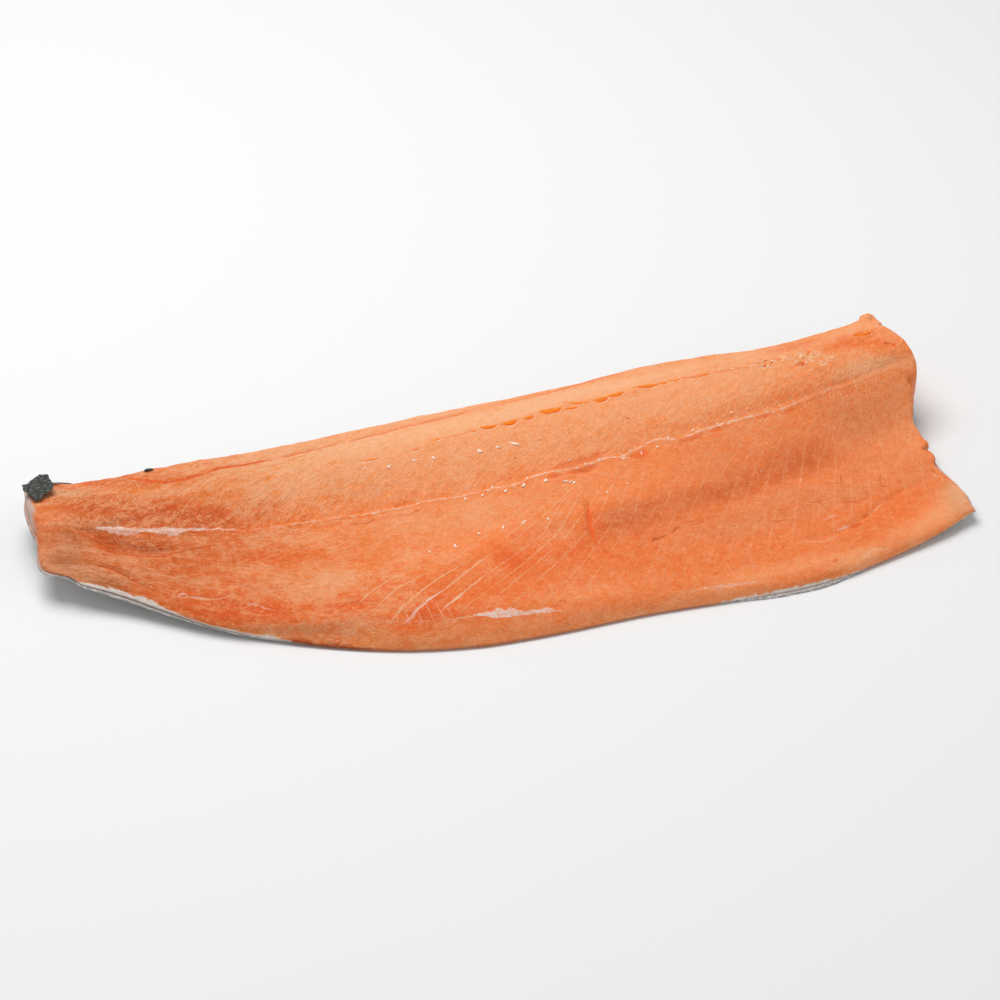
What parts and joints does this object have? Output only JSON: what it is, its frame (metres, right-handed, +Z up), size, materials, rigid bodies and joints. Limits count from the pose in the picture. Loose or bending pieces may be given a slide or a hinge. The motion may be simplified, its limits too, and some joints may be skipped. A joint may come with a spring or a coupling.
{
  "type": "raw salmon fillet",
  "caption": "Long side of raw orange fish flesh lying skin down, thick along the back and thinning to a curved belly edge, with scaly skin below and turned up at the tail.",
  "frame": {"origin": "middle of the bounding box in plan, on the surface that the fillet lies on", "axes": "+X from the tail to the head end, +Y from the belly edge to the back, +Z up from the skin to the flesh"},
  "size_m": [0.4417, 0.1702, 0.0384],
  "materials": {
    "flesh": "raw orange-pink fish muscle, moist with a soft satin sheen, with pale lines between its flakes",
    "skin": "wet scaly fish skin, near black with grey-green flecks on the back and silvery towards the belly"
  },
  "bodies": {
    "root": {"flesh": "flesh", "skin": "skin"}
  },
  "joints": []
}
